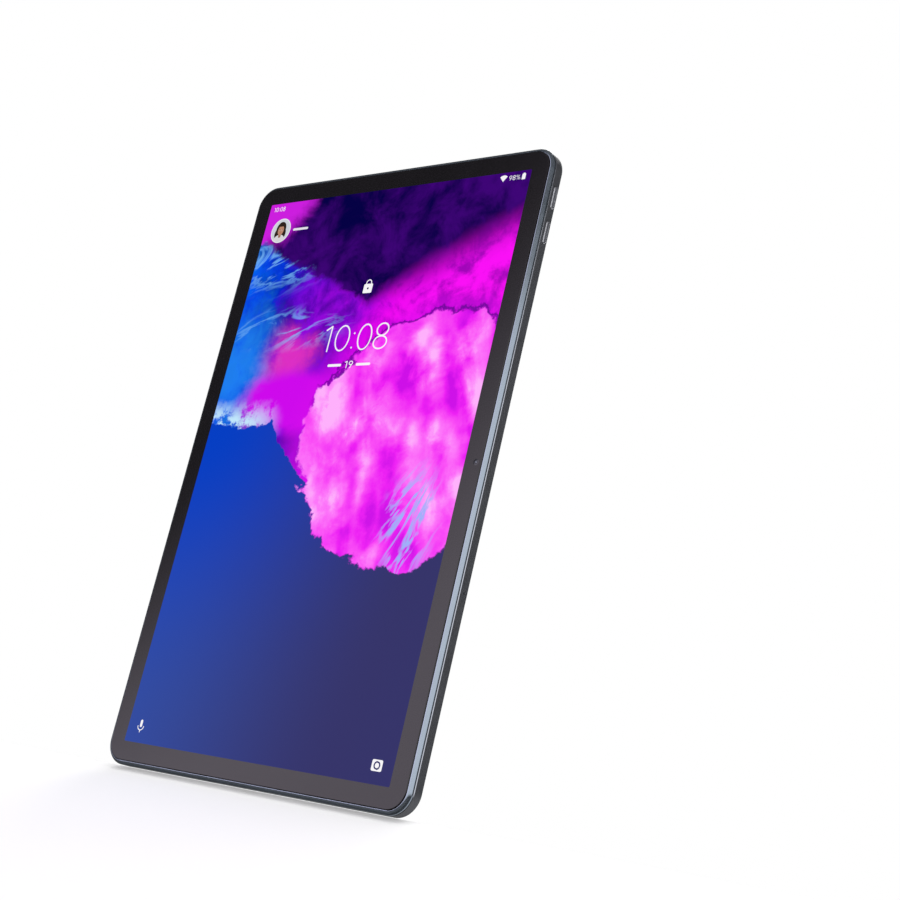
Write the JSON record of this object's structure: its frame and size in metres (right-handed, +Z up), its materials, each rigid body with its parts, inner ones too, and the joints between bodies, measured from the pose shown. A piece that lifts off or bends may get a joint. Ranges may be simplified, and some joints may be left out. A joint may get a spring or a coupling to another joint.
{
  "type": "tablet computer",
  "caption": "Slab tablet computer with a glass front, two-part rear cover, raised rear camera, sprung side keys, speaker slots, a USB-C port and a card tray that slides out.",
  "frame": {"origin": "bottom centre of the body, where the upright tablet's lower short side rests", "axes": "+Z up along the long sides, +X to the right when the screen is looked at, the screen faces -Y and the camera +Y"},
  "size_m": [0.1634, 0.009, 0.2588],
  "materials": {
    "cover_glass": "polished, black border",
    "display": "lit colour picture",
    "frame_gloss": "gloss",
    "metal_cover": "satin metallic",
    "matte_cover": "matte, fine grain",
    "camera_ring": "turned, polished rim",
    "camera_glass": "polished black",
    "flash_lens": "frosted",
    "black_plastic": "satin",
    "speaker_mesh": "fine mesh",
    "circuit_board": "solder mask",
    "flex_film": "film",
    "shield_tin": "satin",
    "battery_wrap": "foil",
    "steel": "satin",
    "antenna_gold": "satin",
    "graphite": "matt"
  },
  "bodies": {
    "tablet": {"backlight_unit": "shield_tin", "battery_board": "circuit_board", "battery_cell_left": "battery_wrap", "battery_cell_right": "battery_wrap", "board_link_flex": "flex_film", "camera_flex": "flex_film", "camera_module": "black_plastic", "camera_ring": "camera_ring", "camera_window": "camera_glass", "card_reader": "steel", "cover_glass": "cover_glass", "cpu_shield": "shield_tin", "display_flex": "flex_film", "flash_led": "flash_lens", "flash_window": "flash_lens", "front_camera_lens": "camera_glass", "front_camera_module": "black_plastic", "glass_gasket": "black_plastic", "graphite_sheet": "graphite", "lcd_panel": "display", "main_board": "circuit_board", "main_board_screw_1": "steel", "main_board_screw_2": "steel", "main_board_screw_3": "steel", "main_board_screw_4": "steel", "memory_chip": "black_plastic", "mesh_bottom_left": "speaker_mesh", "mesh_bottom_right": "speaker_mesh", "mesh_top_left": "speaker_mesh", "mesh_top_right": "speaker_mesh", "mid_frame": "frame_gloss", "power_chip": "black_plastic", "power_switch": "steel", "radio_shield": "shield_tin", "rear_cover_main": "metal_cover", "rear_cover_upper": "matte_cover", "seam_strip": "black_plastic", "side_key_flex": "flex_film", "side_microphone": "shield_tin", "speaker_bottom_left": "black_plastic", "speaker_bottom_right": "black_plastic", "speaker_top_left": "black_plastic", "speaker_top_right": "black_plastic", "sub_board": "circuit_board", "sub_board_screw_1": "steel", "sub_board_screw_2": "steel", "usb_c_shell": "steel", "usb_c_tongue": "black_plastic", "volume_down_switch": "steel", "volume_up_switch": "steel", "wifi_antenna": "antenna_gold"},
    "power_key": {"power_button": "matte_cover"},
    "volume_up_key": {"volume_up_button": "matte_cover"},
    "volume_down_key": {"volume_down_button": "matte_cover"},
    "card_tray": {"card_tray": "metal_cover"},
    "camera_focus": {"camera_barrel": "black_plastic", "camera_lens": "camera_glass"}
  },
  "joints": [
    {"name": "power_press", "type": "slide", "parent": "tablet", "child": "power_key", "axis": [0, 0, -1], "range_m": [0, 0.00025], "stiffness_N_per_m": 6000},
    {"name": "volume_up_press", "type": "slide", "parent": "tablet", "child": "volume_up_key", "axis": [-1, 0, 0], "range_m": [0, 0.00025], "stiffness_N_per_m": 6000},
    {"name": "volume_down_press", "type": "slide", "parent": "tablet", "child": "volume_down_key", "axis": [-1, 0, 0], "range_m": [0, 0.00025], "stiffness_N_per_m": 6000},
    {"name": "card_tray_slide", "type": "slide", "parent": "tablet", "child": "card_tray", "axis": [-1, 0, 0], "range_m": [0, 0.018]},
    {"name": "focus_travel", "type": "slide", "parent": "tablet", "child": "camera_focus", "axis": [0, 1, 0], "range_m": [0, 0.0003], "stiffness_N_per_m": 400}
  ]
}
